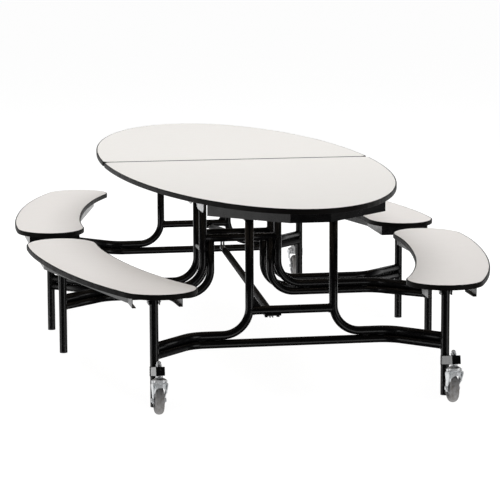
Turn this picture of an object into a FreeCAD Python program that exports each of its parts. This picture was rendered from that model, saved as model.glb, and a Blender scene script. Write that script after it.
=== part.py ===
import FreeCAD, Part
import math
import os
from FreeCAD import Vector, Placement, Rotation

# Elliptical folding table with four attached curved benches.
# Frame: X across the table along the centre seam, Y along the table, Z up,
# origin on the floor under the middle of the seam. Millimetres.
# "front" is the half at -Y, "rear" the half at +Y; "left" is -X, "right" is +X.

doc = FreeCAD.newDocument("folding_bench_table")

# ---------------------------------------------------------------- dimensions
sheet = doc.addObject("Spreadsheet::Sheet", "Sizes")
CELLS = [
    ("top_semi_x", 556.0), ("top_semi_y", 1605.0), ("top_height", 737.0), ("board_thick", 19.0),
    ("seam_gap", 12.0), ("seam_corner", 32.0), ("edge_wide", 5.0), ("edge_round", 3.0),
    ("tube_dia", 31.75), ("tube_wall", 1.7), ("tube_bend", 132.0), ("kink_bend", 110.0),
    ("post_half", 157.0), ("outer_plane", 1168.0), ("inner_plane", 79.0),
    ("rail_low", 189.0), ("tube_pitch", 31.85), ("outer_cross", 309.6), ("inner_cross", 421.5),
    ("outer_kink", 372.0), ("inner_kink", 560.0),
    ("outer_leg_x", 535.0), ("outer_leg_y", 1347.0), ("inner_leg_x", 755.0), ("inner_leg_y", 258.0),
    ("leg_top", 402.0), ("outer_foot", 4.6), ("glide_high", 6.0),
    ("pivot_high", 655.0), ("post_top", 668.0), ("bolt_dia", 9.5), ("bolt_play", 0.06),
    ("channel_deep", 38.0), ("channel_wide", 32.0), ("plate_thick", 2.5),
    ("apron_low", 677.0), ("cross_deep", 28.0), ("cheek_low", 645.0), ("cheek_gap", 35.2),
    ("lock_low", 546.0), ("lock_high", 690.0), ("lock_thick", 3.0),
    ("bench_height", 438.0), ("bench_gap", 72.0), ("bench_wide", 281.0),
    ("bench_near_y", 244.0), ("bench_near_cap", 170.5), ("bench_far_y", 1379.0), ("bench_rail", 38.0), ("bench_flange", 14.0),
    ("bench_pivot", 390.0), ("bench_cheek_low", 376.0),
    ("stub_side", 31.75), ("stub_mid", 165.0), ("stub_end", 1505.0), ("stem_y", 1470.0),
    ("stem_dia", 12.0), ("race_dia", 57.0), ("crown_top", 124.6), ("trail", 38.9),
    ("caster_tilt", 11.5), ("axle_drop", 101.5), ("wheel_y", 1452.82),
    ("wheel_dia", 101.6), ("wheel_wide", 32.0), ("hub_dia", 62.0), ("hub_wide", 34.0), ("axle_dia", 8.0),
    ("fork_inner", 37.6), ("fork_plate", 3.0), ("crown_dia", 55.0),
    ("strut_x", 75.0), ("strut_low_y", 1136.0), ("strut_low_z", 296.0), ("strut_high_z", 383.0),
    ("strut_dia", 27.0), ("strut_rod", 19.0), ("strut_pin", 8.0), ("tongue_thick", 5.0),
    ("fold_deg", 87.0),
]
for i, (alias, value) in enumerate(CELLS):
    sheet.set("A%d" % (i + 1), alias)
    sheet.set("B%d" % (i + 1), str(value))
    sheet.setAlias("B%d" % (i + 1), alias)
doc.recompute()


def cell(alias):
    return float(sheet.get(alias))


def ref(text):
    """Expression text with each cell alias qualified by the sheet."""
    out, word = "", ""
    names = {a for a, _ in CELLS}
    for ch in text + " ":
        if ch.isalnum() or ch == "_":
            word += ch
        else:
            out += ("Sizes." + word) if word in names else word
            out += ch
            word = ""
    return out.strip()


parts = []          # finished sub-parts, in order of export


def keep(obj, label):
    obj.Label = label
    parts.append(obj)
    return obj


# ------------------------------------------------------------ small builders
def plane_of(body, role):
    return [f for f in body.Origin.OriginFeatures if f.Role == role][0]


def new_body(label):
    body = doc.addObject("PartDesign::Body", "Body_" + label)
    body.AllowCompound = True
    return keep(body, label)


def sketch_on(body, role, loops, offset=None):
    """A sketch on an origin plane; loops are lists of curves; offset is an expression along the normal."""
    sk = body.newObject("Sketcher::SketchObject", body.Name + "_sk%d" % len(body.Group))
    sk.AttachmentSupport = (plane_of(body, role), [""])
    sk.MapMode = "FlatFace"
    for loop in loops:
        for curve in loop:
            sk.addGeometry(curve, False)
    if offset is not None:
        sk.setExpression("AttachmentOffset.Base.z", ref(offset))
    return sk


def add_pad(body, loops, offset, length, role="XY_Plane"):
    sk = sketch_on(body, role, loops, offset)
    pad = body.newObject("PartDesign::Pad", body.Name + "_pad%d" % len(body.Group))
    pad.Profile = sk
    pad.setExpression("Length", ref(length))
    sk.Visibility = False
    return pad


def add_pocket(body, loops, offset, length, role="YZ_Plane"):
    sk = sketch_on(body, role, loops, offset)
    pocket = body.newObject("PartDesign::Pocket", body.Name + "_cut%d" % len(body.Group))
    pocket.Profile = sk
    pocket.Midplane = True
    pocket.setExpression("Length", ref(length))
    return pocket


def poly(points):
    pts = [Vector(p[0], p[1], 0) for p in points]
    return [Part.LineSegment(pts[i], pts[(i + 1) % len(pts)]) for i in range(len(pts))]


def rect(x0, y0, x1, y1):
    return poly([(x0, y0), (x1, y0), (x1, y1), (x0, y1)])


def ring(x, y, r):
    return [Part.Circle(Vector(x, y, 0), Vector(0, 0, 1), r)]


def strip(path, near, far):
    """Closed outline between two parallel offsets (to the left of the path) of a polyline."""
    def shifted(d):
        out = []
        n = len(path)
        for i, (x, y) in enumerate(path):
            dirs = []
            for a, b in ((i - 1, i), (i, i + 1)):
                if 0 <= a and b < n:
                    ux, uy = path[b][0] - path[a][0], path[b][1] - path[a][1]
                    m = math.hypot(ux, uy)
                    dirs.append((-uy / m, ux / m))
            if len(dirs) == 1:
                out.append((x + d * dirs[0][0], y + d * dirs[0][1]))
            else:
                sx, sy = dirs[0][0] + dirs[1][0], dirs[0][1] + dirs[1][1]
                k = d * 2.0 / (sx * sx + sy * sy)
                out.append((x + k * sx, y + k * sy))
        return out
    return poly(shifted(near) + shifted(far)[::-1])


def tube_path(points, bends):
    """Straight runs joined by tangent arcs; bends gives the radius at each inner point."""
    pts = [Vector(*p) for p in points]
    edges, last = [], pts[0]
    for i in range(1, len(pts) - 1):
        a, b = (pts[i - 1] - pts[i]).normalize(), (pts[i + 1] - pts[i]).normalize()
        turn = math.pi - a.getAngle(b)
        cut = bends[i - 1] * math.tan(turn / 2)
        p1, p2 = pts[i] + a * cut, pts[i] + b * cut
        mid_dir = (a + b).normalize()
        centre = pts[i] + mid_dir * (bends[i - 1] / math.cos(turn / 2))
        pm = centre - mid_dir * bends[i - 1]
        edges.append(Part.LineSegment(last, p1).toShape())
        edges.append(Part.Arc(p1, pm, p2).toShape())
        last = p2
    edges.append(Part.LineSegment(last, pts[-1]).toShape())
    return Part.Wire(edges)


def pipe(points, bends, radius):
    wire = tube_path(points, bends)
    first, second = Vector(*points[0]), Vector(*points[1])
    circle = Part.Wire([Part.Circle(first, second - first, radius).toShape()])
    return wire.makePipeShell([circle], True, False)


def hollow(points, bends):
    r, w = cell("tube_dia") / 2, cell("tube_wall")
    return pipe(points, bends, r).cut(pipe(points, bends, r - w))


def rod_between(p, q, radius):
    p, q = Vector(*p), Vector(*q)
    return Part.makeCylinder(radius, (q - p).Length, p, q - p)


def block(x0, y0, z0, x1, y1, z1):
    return Part.makeBox(abs(x1 - x0), abs(y1 - y0), abs(z1 - z0),
                        Vector(min(x0, x1), min(y0, y1), min(z0, z1)))


def plate_yz(points, x0, x1):
    """A flat plate with its outline in Y-Z, from x0 to x1."""
    wire = Part.makePolygon([Vector(x0, y, z) for y, z in points] + [Vector(x0, points[0][0], points[0][1])])
    return Part.Face(wire).extrude(Vector(x1 - x0, 0, 0))


def moved(shape, placement):
    """A copy with the placement worked into its geometry."""
    return shape.transformed(placement.toMatrix(), True)


def turned(shape):
    """The same shape half a turn round the vertical axis through the origin."""
    return moved(shape, Placement(Vector(0, 0, 0), Rotation(Vector(0, 0, 1), 180)))


def solid_node(label, shapes):
    """Sub-part of one or more plain solids whose form needs general sweeps and coped joints."""
    if not isinstance(shapes, (list, tuple)):
        shapes = [shapes]
    obj = doc.addObject("Part::Feature", "Solid_" + label)
    solids = [s for sh in shapes for s in sh.Solids]
    obj.Shape = solids[0] if len(solids) == 1 else Part.makeCompound(solids)
    obj.Placement = Placement(Vector(0, 0, 0), Rotation())
    return keep(obj, label)


TR = cell("tube_dia") / 2
ZT = cell("rail_low") + cell("tube_pitch")          # height of the upper tube of each wing
XP, YO, YI = cell("post_half"), cell("outer_plane"), cell("inner_plane")
LOX, LOY = cell("outer_leg_x"), cell("outer_leg_y")
LIX, LIY = cell("inner_leg_x"), cell("inner_leg_y")
PZ, BZ = cell("pivot_high"), cell("bench_pivot")
BR = cell("bolt_dia") / 2
PLAY = cell("bolt_play")


# --------------------------------------------------------- curved outlines
def ellipse_offset(t, d):
    a, b = cell("top_semi_x"), cell("top_semi_y")
    x, y = a * math.cos(t), b * math.sin(t)
    nx, ny = math.cos(t) / a, math.sin(t) / b
    m = math.hypot(nx, ny)
    return x + d * nx / m, y + d * ny / m


def t_at_y(d, y):
    lo, hi = 0.0, math.pi / 2
    for _ in range(60):
        mid = (lo + hi) / 2
        if ellipse_offset(mid, d)[1] < y:
            lo = mid
        else:
            hi = mid
    return (lo + hi) / 2


def bench_outline(inset, sx, sy):
    """Crescent seat: two curves parallel to the table's edge, a round far end and a taller near end."""
    half = cell("bench_wide") / 2 - inset
    mid = cell("bench_gap") + cell("bench_wide") / 2

    def middle(y):
        d = mid - 11.0 * max(0.0, (500.0 - y) / 300.0) ** 2
        return ellipse_offset(t_at_y(d, y), d)

    def centre(y):
        # point of the seat's centre line and its direction towards the far end
        p, q = middle(y - 1.0), middle(y + 1.0)
        m = math.hypot(q[0] - p[0], q[1] - p[1])
        return middle(y), ((q[0] - p[0]) / m, (q[1] - p[1]) / m)

    def place(c, u, across, along):
        # across runs outwards from the table, along towards the far end
        return Vector(sx * (c[0] + u[1] * across + u[0] * along), sy * (c[1] - u[0] * across + u[1] * along), 0)

    y_near, y_far = cell("bench_near_y"), cell("bench_far_y")
    c0, u0 = centre(y_near)
    c1, u1 = centre(y_far)
    d0 = Vector(sx * u0[0], sy * u0[1], 0)
    d1 = Vector(sx * u1[0], sy * u1[1], 0)

    def side(sign):
        out = []
        for i in range(23):
            c, u = centre(y_near + (y_far - y_near) * i / 22.0)
            out.append(place(c, u, sign * half, 0.0))
        return out

    def curve(points, first, last):
        s = Part.BSplineCurve()
        s.interpolate(Points=points, InitialTangent=first, FinalTangent=last)
        return s

    inner, outer = side(-1), side(1)
    # near end: a broad nose between two flatter flanks
    high = cell("bench_near_cap") - inset
    nose = half * 0.86
    rise = high - nose
    flank = (half * half + rise * rise - nose * nose) / (2 * (half - nose))
    reach = math.hypot(flank - half, rise)
    tx, ty = (flank - half) * (flank / reach - 1), rise / reach * flank
    half_turn = math.atan2(rise, flank - half) / 2
    mx, my = flank * math.cos(half_turn) - (flank - half), flank * math.sin(half_turn)

    def near(across, along):
        return place(c0, u0, across, -along)

    return [curve(inner, d0, d1), Part.Arc(inner[-1], place(c1, u1, 0, half), outer[-1]),
            curve(outer[::-1], d1 * -1, d0 * -1), Part.Arc(outer[0], near(mx, my), near(tx, ty)),
            Part.Arc(near(tx, ty), near(0, high), near(-tx, ty)), Part.Arc(near(-tx, ty), near(-mx, my), inner[0])]


def top_outline(inset, sy):
    """Half of the ellipse, cut along the seam, with rounded corners at the seam's ends."""
    r, g = cell("seam_corner"), cell("seam_gap") / 2

    def vec(x, y):
        return Vector(x, sy * y, 0)

    t = t_at_y(-r, g + r)
    cx, cy = ellipse_offset(t, -r)
    ox, oy = ellipse_offset(t, -inset)
    rr = r - inset
    ang = math.atan2(oy - cy, ox - cx)
    mid = (ang - math.pi / 2) / 2
    mx, my = cx + rr * math.cos(mid), cy + rr * math.sin(mid)
    pts = [vec(*ellipse_offset(t + (math.pi - 2 * t) * i / 48.0, -inset)) for i in range(49)]
    curve = Part.BSplineCurve()
    curve.interpolate(pts)
    return [curve, Part.Arc(pts[-1], vec(-mx, my), vec(-cx, g + inset)),
            Part.LineSegment(vec(-cx, g + inset), vec(cx, g + inset)),
            Part.Arc(vec(cx, g + inset), vec(mx, my), pts[0])]


# ------------------------------------------------------------- table tops
def board_and_edge(prefix, outline, height):
    board = new_body(prefix + "_board")
    add_pad(board, [outline(cell("edge_wide"))], height + " - board_thick", "board_thick")
    edge = new_body(prefix + "_edge")
    pad = add_pad(edge, [outline(0.0), outline(cell("edge_wide"))], height + " - board_thick", "board_thick")
    doc.recompute()
    # rounded outer lips of the moulded edge strip
    keep_edges = []
    outer = outline(0.0)
    lengths = sorted(round(c.toShape().Length, 1) for c in outer)
    for i, e in enumerate(pad.Shape.Edges):
        if abs(e.BoundBox.ZMax - e.BoundBox.ZMin) < 0.01 and round(e.Length, 1) in lengths:
            mid = e.valueAt((e.FirstParameter + e.LastParameter) / 2)
            flat = Vector(mid.x, mid.y, 0)
            if min(flat.distanceToPoint(c.toShape().distToShape(Part.Vertex(flat))[1][0][0]) for c in outer) < 0.05:
                keep_edges.append("Edge%d" % (i + 1))
    fillet = edge.newObject("PartDesign::Fillet", edge.Name + "_lip")
    fillet.Base = (pad, keep_edges)
    fillet.setExpression("Radius", ref("edge_round"))


APRON = [(-328.0, 1268.0), (-73.0, 1515.0), (73.0, 1515.0), (328.0, 1268.0)]


def top_underframe(label, sy):
    """Steel frame under one half: two channels, two cross channels, a bow-shaped apron and pivot cheeks."""
    body = new_body(label)
    low = "top_height - board_thick"
    t = cell("plate_thick")
    half = cell("channel_wide") / 2

    def area(x0, y0, x1, y1):
        ya, yb = sorted((sy * y0, sy * y1))
        return rect(min(x0, x1), ya, max(x0, x1), yb)

    web, deep, shallow = [], [], []
    for s in (-1, 1):
        x = s * XP
        web.append(area(x - half, 20, x + half, 1410))
        for e in (-1, 1):
            deep.append(area(x + e * half, 20, x + e * (half - t), 1410))
    for loop in web:
        add_pad(body, [loop], low + " - plate_thick", "plate_thick")
    for loop in deep:
        add_pad(body, [loop], low + " - channel_deep", "channel_deep")
    for y0, y1, reach in ((35, 115, 506), (690, 740, 330)):
        add_pad(body, [area(-reach, y0, reach, y1)], low + " - plate_thick", "plate_thick")
        for ya, yb in ((y0, y0 + t), (y1 - t, y1)):
            add_pad(body, [area(-reach, ya, reach, yb)], low + " - cross_deep", "cross_deep")
        for s in (-1, 1):
            add_pad(body, [area(s * reach, y0, s * (reach - t), y1)], low + " - cross_deep", "cross_deep")
    path = [(x * (1 if sy > 0 else -1), sy * y) for x, y in APRON]
    inward = -1                                     # the table's middle lies to the right of this path
    add_pad(body, [strip(path, 0, inward * t)], "apron_low", low + " - apron_low")
    add_pad(body, [strip(path, 0, inward * 22.0)], "apron_low", "plate_thick")
    add_pad(body, [strip(path, 0, inward * 22.0)], low + " - plate_thick", "plate_thick")
    g = cell("cheek_gap") / 2
    for s in (-1, 1):
        for y, cheeks in ((YO, (-1, 1)), (YI, (-s,))):
            for e in cheeks:
                x0 = s * XP + e * g
                add_pad(body, [area(x0, y - 22, x0 + e * t, y + 22)], "cheek_low", low + " - cheek_low")
                add_pad(body, [area(s * XP, y - 22, x0 + e * t, y + 22)], low + " - plate_thick", "plate_thick")
    doc.recompute()
    for y in (YO, YI):
        add_pocket(body, [ring(sy * y, PZ, BR + PLAY)], "0", "2 * post_half + 60")
    return body


def lock_plates(label, sy):
    """Zinc plates that carry the centre pivots and reach down beside the centre posts."""
    lt, g = cell("lock_thick"), cell("cheek_gap") / 2
    z0, z1 = cell("lock_low"), cell("lock_high")
    pts = [(sy * y, z) for y, z in ((34, z1), (34, PZ - 30), (42, z0 + 34), (60, z0 + 6), (78, z0), (212, z0),
                                    (230, z0 + 14), (230, z0 + 52), (196, z1))]
    out = []
    for s in (-1, 1):
        inner = (s == sy)           # on each side one half's plate runs inside the other's
        x0 = XP + g + (0.0 if inner else lt + 2.4)
        p = plate_yz(pts, s * x0, s * (x0 + lt))
        p = p.cut(rod_between((-260, sy * YI, PZ), (260, sy * YI, PZ), BR + PLAY))
        p = p.cut(rod_between((-260, sy * 84, z0 + 22), (260, sy * 84, z0 + 22), 6.0))
        p = p.cut(rod_between((-260, sy * 196, z0 + 30), (260, sy * 196, z0 + 30), 5.0))
        out.append(p)
    return solid_node(label, out)


for prefix, sy in (("front_top", -1), ("rear_top", 1)):
    board_and_edge(prefix, (lambda inset, s=sy: top_outline(inset, s)), "top_height")
    top_underframe(prefix + "_underframe", sy)
    lock_plates(prefix + "_lock_plates", sy)


# ------------------------------------------------------------------ benches
def bench_underframe(label, sx, sy):
    """Two bent channels, an end channel and the pivot cheeks over both legs."""
    body = new_body(label)
    low = "bench_height - board_thick"
    t, f = cell("plate_thick"), cell("bench_flange")
    out_path = [(852.0, 135.0), (850.0, 510.0), (626.0, 1335.0), (625.0, 1443.0)]
    in_path = [(651.0, 135.0), (655.0, 426.0), (451.0, 1335.0), (445.0, 1443.0)]
    flip = 1 if sx * sy > 0 else -1

    def place(path):
        return [(sx * x, sy * y) for x, y in path]

    for path, side in ((out_path, 1), (in_path, -1)):
        s = side * flip
        p = place(path)
        add_pad(body, [strip(p, 0, s * t)], low + " - bench_rail", "bench_rail")
        add_pad(body, [strip(p, 0, s * f)], low + " - bench_rail", "plate_thick")
        add_pad(body, [strip(p, 0, s * f)], low + " - plate_thick", "plate_thick")

    def area(x0, y0, x1, y1):
        xa, xb = sorted((sx * x0, sx * x1))
        ya, yb = sorted((sy * y0, sy * y1))
        return rect(xa, ya, xb, yb)

    add_pad(body, [area(651, 135, 852, 135 + t)], low + " - bench_rail", "bench_rail")
    g = cell("cheek_gap") / 2
    for lx, ly, xa, xb in ((LOX, LOY, 449.0, 624.5), (LIX, LIY, 654.0, 850.0)):
        for e in (-1, 1):
            add_pad(body, [area(lx + e * g, ly - 20, lx + e * (g + t), ly + 20)],
                    "bench_cheek_low", low + " - bench_cheek_low")
        add_pad(body, [area(xa, ly - 11, lx - g - t / 2, ly + 11)], "399", low + " - 399")
        add_pad(body, [area(lx + g + t / 2, ly - 11, xb, ly + 11)], "399", low + " - 399")
        add_pad(body, [area(lx - g - t, ly - 20, lx + g + t, ly + 20)], low + " - plate_thick", "plate_thick")
    doc.recompute()
    add_pocket(body, [ring(sy * LOY, BZ, BR + PLAY)], str(sx * LOX), "60")
    add_pocket(body, [ring(sy * LIY, BZ, BR + 0.5)], str(sx * LIX), "60")
    return body


SIDES = (("front_left", -1, -1), ("front_right", 1, -1), ("rear_left", -1, 1), ("rear_right", 1, 1))
for name, sx, sy in SIDES:
    board_and_edge(name + "_bench", (lambda inset, a=sx, b=sy: bench_outline(inset, a, b)), "bench_height")
    bench_underframe(name + "_bench_underframe", sx, sy)


# --------------------------------------------------------------- tube frames
R, K = cell("tube_bend"), cell("kink_bend")


def leg_cylinder(x, y, grow=0.0):
    return Part.makeCylinder(TR + grow, 900, Vector(x, y, -50), Vector(0, 0, 1))


def post_tube(sx, sy, plane, kink, lx, ly):
    """From the pivot at the top down the post, round the bend and out along the wing to the leg."""
    pts = [(sx * XP, sy * plane, cell("post_top")), (sx * XP, sy * plane, ZT),
           (sx * kink, sy * plane, ZT), (sx * lx, sy * ly, ZT)]
    s = hollow(pts, [R, K]).cut(leg_cylinder(sx * lx, sy * ly))
    return s.cut(rod_between((sx * XP - 40, sy * plane, PZ), (sx * XP + 40, sy * plane, PZ), BR))


def post_cylinder(sx, y):
    return Part.makeCylinder(TR, 900, Vector(sx * XP, y, 0), Vector(0, 0, 1))


def ears(y0, y1, z0, z1, pin_y, pin_z, x):
    t2 = cell("tongue_thick") / 2 + 1.0
    out = []
    for e in (-1, 1):
        out.append(block(x + e * t2, y0, z0, x + e * (t2 + 3.0), y1, z1))
    s = out[0].fuse(out[1])
    return s.cut(rod_between((x - 20, pin_y, pin_z), (x + 20, pin_y, pin_z), cell("strut_pin") / 2 + PLAY))


def outer_cross_rail():
    """Rail between the front posts with the corner gusset and the bracket of the telescopic stay."""
    z = cell("outer_cross")
    x = -cell("strut_x")
    bore = rod_between((-XP, -YO, z), (XP, -YO, z), TR - cell("tube_wall"))
    s = rod_between((-XP, -YO, z), (XP, -YO, z), TR)
    gusset = Part.Face(Part.makePolygon([Vector(-XP, -YO - 1.5, z), Vector(-XP, -YO - 1.5, z + 76),
                                         Vector(-XP + 54, -YO - 1.5, z), Vector(-XP, -YO - 1.5, z)])
                       ).extrude(Vector(0, 3, 0))
    saddle = block(x - 28, -YO - 12, z - TR - 5, x + 34, -cell("strut_low_y") - 10, z - TR + 1.5)
    lug = ears(-YO, -cell("strut_low_y") + 11, z - TR - 14, z - TR + 12,
               -cell("strut_low_y"), cell("strut_low_z"), x)
    s = s.fuse(gusset).fuse(saddle).fuse(lug)
    for bx in (x - 20, x + 24):
        s = s.fuse(rod_between((bx, -YO, z - TR - 11), (bx, -YO, z - TR), 6.0))
    s = s.cut(bore)
    # keep the space between the two ears free for the stay's tongue
    t2 = cell("tongue_thick") / 2 + 1.0
    s = s.cut(block(x - t2, -YO + TR + 0.5, z - TR - 20, x + t2, -cell("strut_low_y") + 20, z + TR))
    s = s.cut(rod_between((x - 20, -cell("strut_low_y"), cell("strut_low_z")),
                          (x + 20, -cell("strut_low_y"), cell("strut_low_z")), cell("strut_pin") / 2))
    for sx in (-1, 1):
        s = s.cut(post_cylinder(sx, -YO))
    return s


def inner_lower_frame():
    """Cross rail of the front centre frame with the two inner wing tubes and the stay's clevis."""
    z = cell("inner_cross")
    x3 = XP - cell("tube_pitch")
    w = cell("tube_wall")
    low = cell("rail_low")
    solid = rod_between((-XP, -YI, z), (XP, -YI, z), TR)
    s = solid.cut(rod_between((-XP, -YI, z), (XP, -YI, z), TR - w))
    for sx in (-1, 1):
        s = s.cut(post_cylinder(sx, -YI))
    for sx in (-1, 1):
        pts = [(sx * x3, -YI, z), (sx * x3, -YI, low), (sx * cell("inner_kink"), -YI, low), (sx * LIX, -LIY, low)]
        s = s.fuse(hollow(pts, [R, K]).cut(solid).cut(leg_cylinder(sx * LIX, -LIY)))
    x = -cell("strut_x")
    lug = ears(-YI - 13, -YI + 13, cell("strut_high_z") - 13, z, -YI, cell("strut_high_z"), x)
    return s.fuse(lug.cut(solid)).removeSplitter()


def tilted(shape, sx, sy):
    """Outrigger and caster are drawn level, then leaned back round the outrigger's outer end."""
    at = Vector(sx * LOX, sy * cell("stub_end"), cell("stub_mid"))
    lean = Placement(at, Rotation(Vector(1, 0, 0), sy * cell("caster_tilt")))
    return moved(shape, lean.multiply(Placement(at * -1, Rotation())))


def caster_leg(sx, sy):
    """Outer bench leg with the square outrigger that rises to the caster stem."""
    r, w = TR, cell("tube_wall")
    z0, z1 = cell("outer_foot"), cell("leg_top")
    x, y = sx * LOX, sy * LOY
    leg = Part.makeCylinder(r, z1 - z0, Vector(x, y, z0))
    h = cell("stub_side") / 2
    zs = cell("stub_mid")
    stub = block(x - h, y, zs - h, x + h, sy * cell("stub_end"), zs + h)
    inside = block(x - h + 2, y, zs - h + 2, x + h - 2, sy * (cell("stub_end") - 2), zs + h - 2)
    stub = stub.makeFillet(2.0, [e for e in stub.Edges if abs(e.tangentAt(e.FirstParameter).y) > 0.9])
    stub = stub.cut(inside)
    stub = stub.cut(Part.makeCylinder(cell("stem_dia") / 2 + 0.1, 80, Vector(x, sy * cell("stem_y"), zs - 40)))
    s = leg.fuse(tilted(stub, sx, sy))
    s = s.cut(Part.makeCylinder(r - w, z1 - z0, Vector(x, y, z0 + 3)))
    s = s.cut(rod_between((x - 40, y, BZ), (x + 40, y, BZ), BR))
    s = s.cut(rod_between((x, y, 348), (x, sy * (LOY + 40), 348), 3.2))
    return s


def inner_leg(sx, sy):
    r, w = TR, cell("tube_wall")
    z0, z1 = cell("glide_high"), cell("leg_top")
    x, y = sx * LIX, sy * LIY
    s = Part.makeCylinder(r, z1 - z0, Vector(x, y, z0)).cut(
        Part.makeCylinder(r - w, z1 - z0, Vector(x, y, z0)))
    return s.cut(rod_between((x - 40, y, BZ), (x + 40, y, BZ), BR))


def outer_low_rail(sy):
    """Lower rail: straight in the middle, bent towards the table's end under both wings; two mirrored halves."""
    z = cell("rail_low")
    # the sweep runs 30 mm past the leg, and what lies inside it is kept
    dx, dy = LOX - cell("outer_kink"), LOY - YO
    m = math.hypot(dx, dy)
    pts = [(0, sy * YO, z), (cell("outer_kink"), sy * YO, z), (LOX + 30 * dx / m, sy * (LOY + 30 * dy / m), z)]
    s = hollow(pts, [K]).cut(leg_cylinder(LOX, sy * LOY, 0.04))
    half = max(s.Solids, key=lambda solid: solid.Volume)
    return half.fuse(half.mirror(Vector(0, 0, 0), Vector(1, 0, 0))).removeSplitter()


cross = outer_cross_rail()
for prefix, sy in (("front", -1), ("rear", 1)):
    for side, sx in (("left", -1), ("right", 1)):
        solid_node("%s_post_tube_%s" % (prefix, side), post_tube(sx, sy, YO, cell("outer_kink"), LOX, LOY))
        solid_node("%s_caster_leg_%s" % (prefix, side), caster_leg(sx, sy))
    solid_node(prefix + "_lower_rail", outer_low_rail(sy))
    solid_node(prefix + "_cross_rail", cross if sy < 0 else turned(cross))

lower = inner_lower_frame()
for prefix, sy in (("front", -1), ("rear", 1)):
    for side, sx in (("left", -1), ("right", 1)):
        solid_node("centre_%s_post_tube_%s" % (prefix, side),
                   post_tube(sx, sy, YI, cell("inner_kink"), LIX, LIY))
        solid_node("centre_%s_leg_%s" % (prefix, side), inner_leg(sx, sy))
    solid_node("centre_%s_lower_frame" % prefix, lower if sy < 0 else turned(lower))

# spacer tubes that join the two centre frames, coped to the posts
links = []
for sx in (-1, 1):
    for z in (600.0, 372.0):
        s = rod_between((sx * XP, -YI, z), (sx * XP, YI, z), 11.0).cut(
            rod_between((sx * XP, -YI, z), (sx * XP, YI, z), 9.0))
        links.append(s.cut(post_cylinder(sx, -YI)).cut(post_cylinder(sx, YI)))
solid_node("centre_link_tubes", links)

# plastic glides pressed into the feet of the centre legs
glides = []
for sx in (-1, 1):
    for sy in (-1, 1):
        g = Part.makeCylinder(TR, cell("glide_high"), Vector(sx * LIX, sy * LIY, 0))
        g = g.makeFillet(1.5, [e for e in g.Edges if e.BoundBox.ZMax < 0.01])
        g = g.fuse(Part.makeCylinder(TR - cell("tube_wall") - 0.05, 14, Vector(sx * LIX, sy * LIY, cell("glide_high"))))
        glides.append(g.removeSplitter())
solid_node("centre_leg_glides", glides)


# ------------------------------------------------------------------ fasteners
def hex_prism(centre, axis, across, length):
    """Hexagonal head or nut, its flats 'across' apart."""
    c, a = Vector(*centre), Vector(*axis)
    poly_pts = []
    rot = Rotation(Vector(0, 0, 1), a)
    for i in range(7):
        ang = math.radians(60 * i)
        v = rot.multVec(Vector(across / math.sqrt(3) * math.cos(ang), across / math.sqrt(3) * math.sin(ang), 0))
        poly_pts.append(c + v)
    return Part.Face(Part.makePolygon(poly_pts)).extrude(a * length)


def cross_bolt(x, y, z, x_in, x_out, r=None):
    """Bolt along X; x_in and x_out are the faces under head and nut, measured from x outward."""
    r = r or BR
    s = rod_between((x + x_in, y, z), (x + x_out, y, z), r)
    head = hex_prism((x + x_out, y, z), (1 if x_out > x_in else -1, 0, 0), r * 2.9, r * 0.95)
    nut = hex_prism((x + x_in, y, z), (-1 if x_out > x_in else 1, 0, 0), r * 2.9, r * 1.05)
    return s.fuse(head).fuse(nut)


def caster_stem(sx, sy):
    x, y = sx * LOX, sy * cell("stem_y")
    top = cell("stub_mid") + cell("stub_side") / 2
    low = cell("stub_mid") - cell("stub_side") / 2
    ct = cell("crown_top")
    s = Part.makeCylinder(cell("stem_dia") / 2, top - ct + 13.2, Vector(x, y, ct - 13.2))
    s = s.fuse(hex_prism((x, y, top), (0, 0, 1), 19.0, 9.0))
    s = s.fuse(Part.makeCylinder(8.6, 3.0, Vector(x, y, top + 9)))
    dome = Part.makeSphere(8.6, Vector(x, y, top + 12), Vector(0, 0, 1), 0, 90, 360)
    s = s.fuse(dome)
    # bearing race: neck under the outrigger, domed top and straight rim
    rr = cell("race_dia") / 2
    s = s.fuse(Part.makeCylinder(13.0, low - ct - 16.0, Vector(x, y, ct + 16.0)))
    s = s.fuse(Part.makeCone(rr - 8.0, 13.0, 4.0, Vector(x, y, ct + 14.5)))
    s = s.fuse(Part.makeCone(rr - 0.4, rr - 8.0, 5.5, Vector(x, y, ct + 9.0)))
    s = s.fuse(Part.makeCylinder(rr, 8.7, Vector(x, y, ct + 0.3)))
    s = s.fuse(Part.makeCylinder(9.5, 7.0, Vector(x, y, ct - 7.0 - 5.8)))
    return tilted(s.removeSplitter(), sx, sy)


G = cell("cheek_gap") / 2 + cell("plate_thick") + 0.15
for prefix, sy in (("front", -1), ("rear", 1)):
    group = []
    for sx in (-1, 1):
        group.append(cross_bolt(sx * XP, sy * YO, PZ, -G * sx, G * sx))
        group.append(cross_bolt(sx * LOX, sy * LOY, BZ, -G * sx, G * sx))
        group.append(caster_stem(sx, sy))
    t2 = cell("tongue_thick") / 2 + 4.15
    group.append(cross_bolt(sy * cell("strut_x"), sy * cell("strut_low_y"), cell("strut_low_z"),
                            -t2, t2, cell("strut_pin") / 2))
    solid_node(prefix + "_frame_fasteners", group)

group = []
for sy in (-1, 1):
    for sx in (-1, 1):
        extra = cell("lock_thick") + (0.0 if sx == sy else cell("lock_thick") + 2.4)
        x_out = cell("cheek_gap") / 2 + extra + 0.15
        group.append(cross_bolt(sx * XP, sy * YI, PZ, -G * sx, x_out * sx))
        group.append(cross_bolt(sx * LIX, sy * LIY, BZ, -G * sx, G * sx))
    t2 = cell("tongue_thick") / 2 + 4.15
    group.append(cross_bolt(sy * cell("strut_x"), sy * YI, cell("strut_high_z"), -t2, t2, cell("strut_pin") / 2))
solid_node("centre_frame_fasteners", group)


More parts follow.
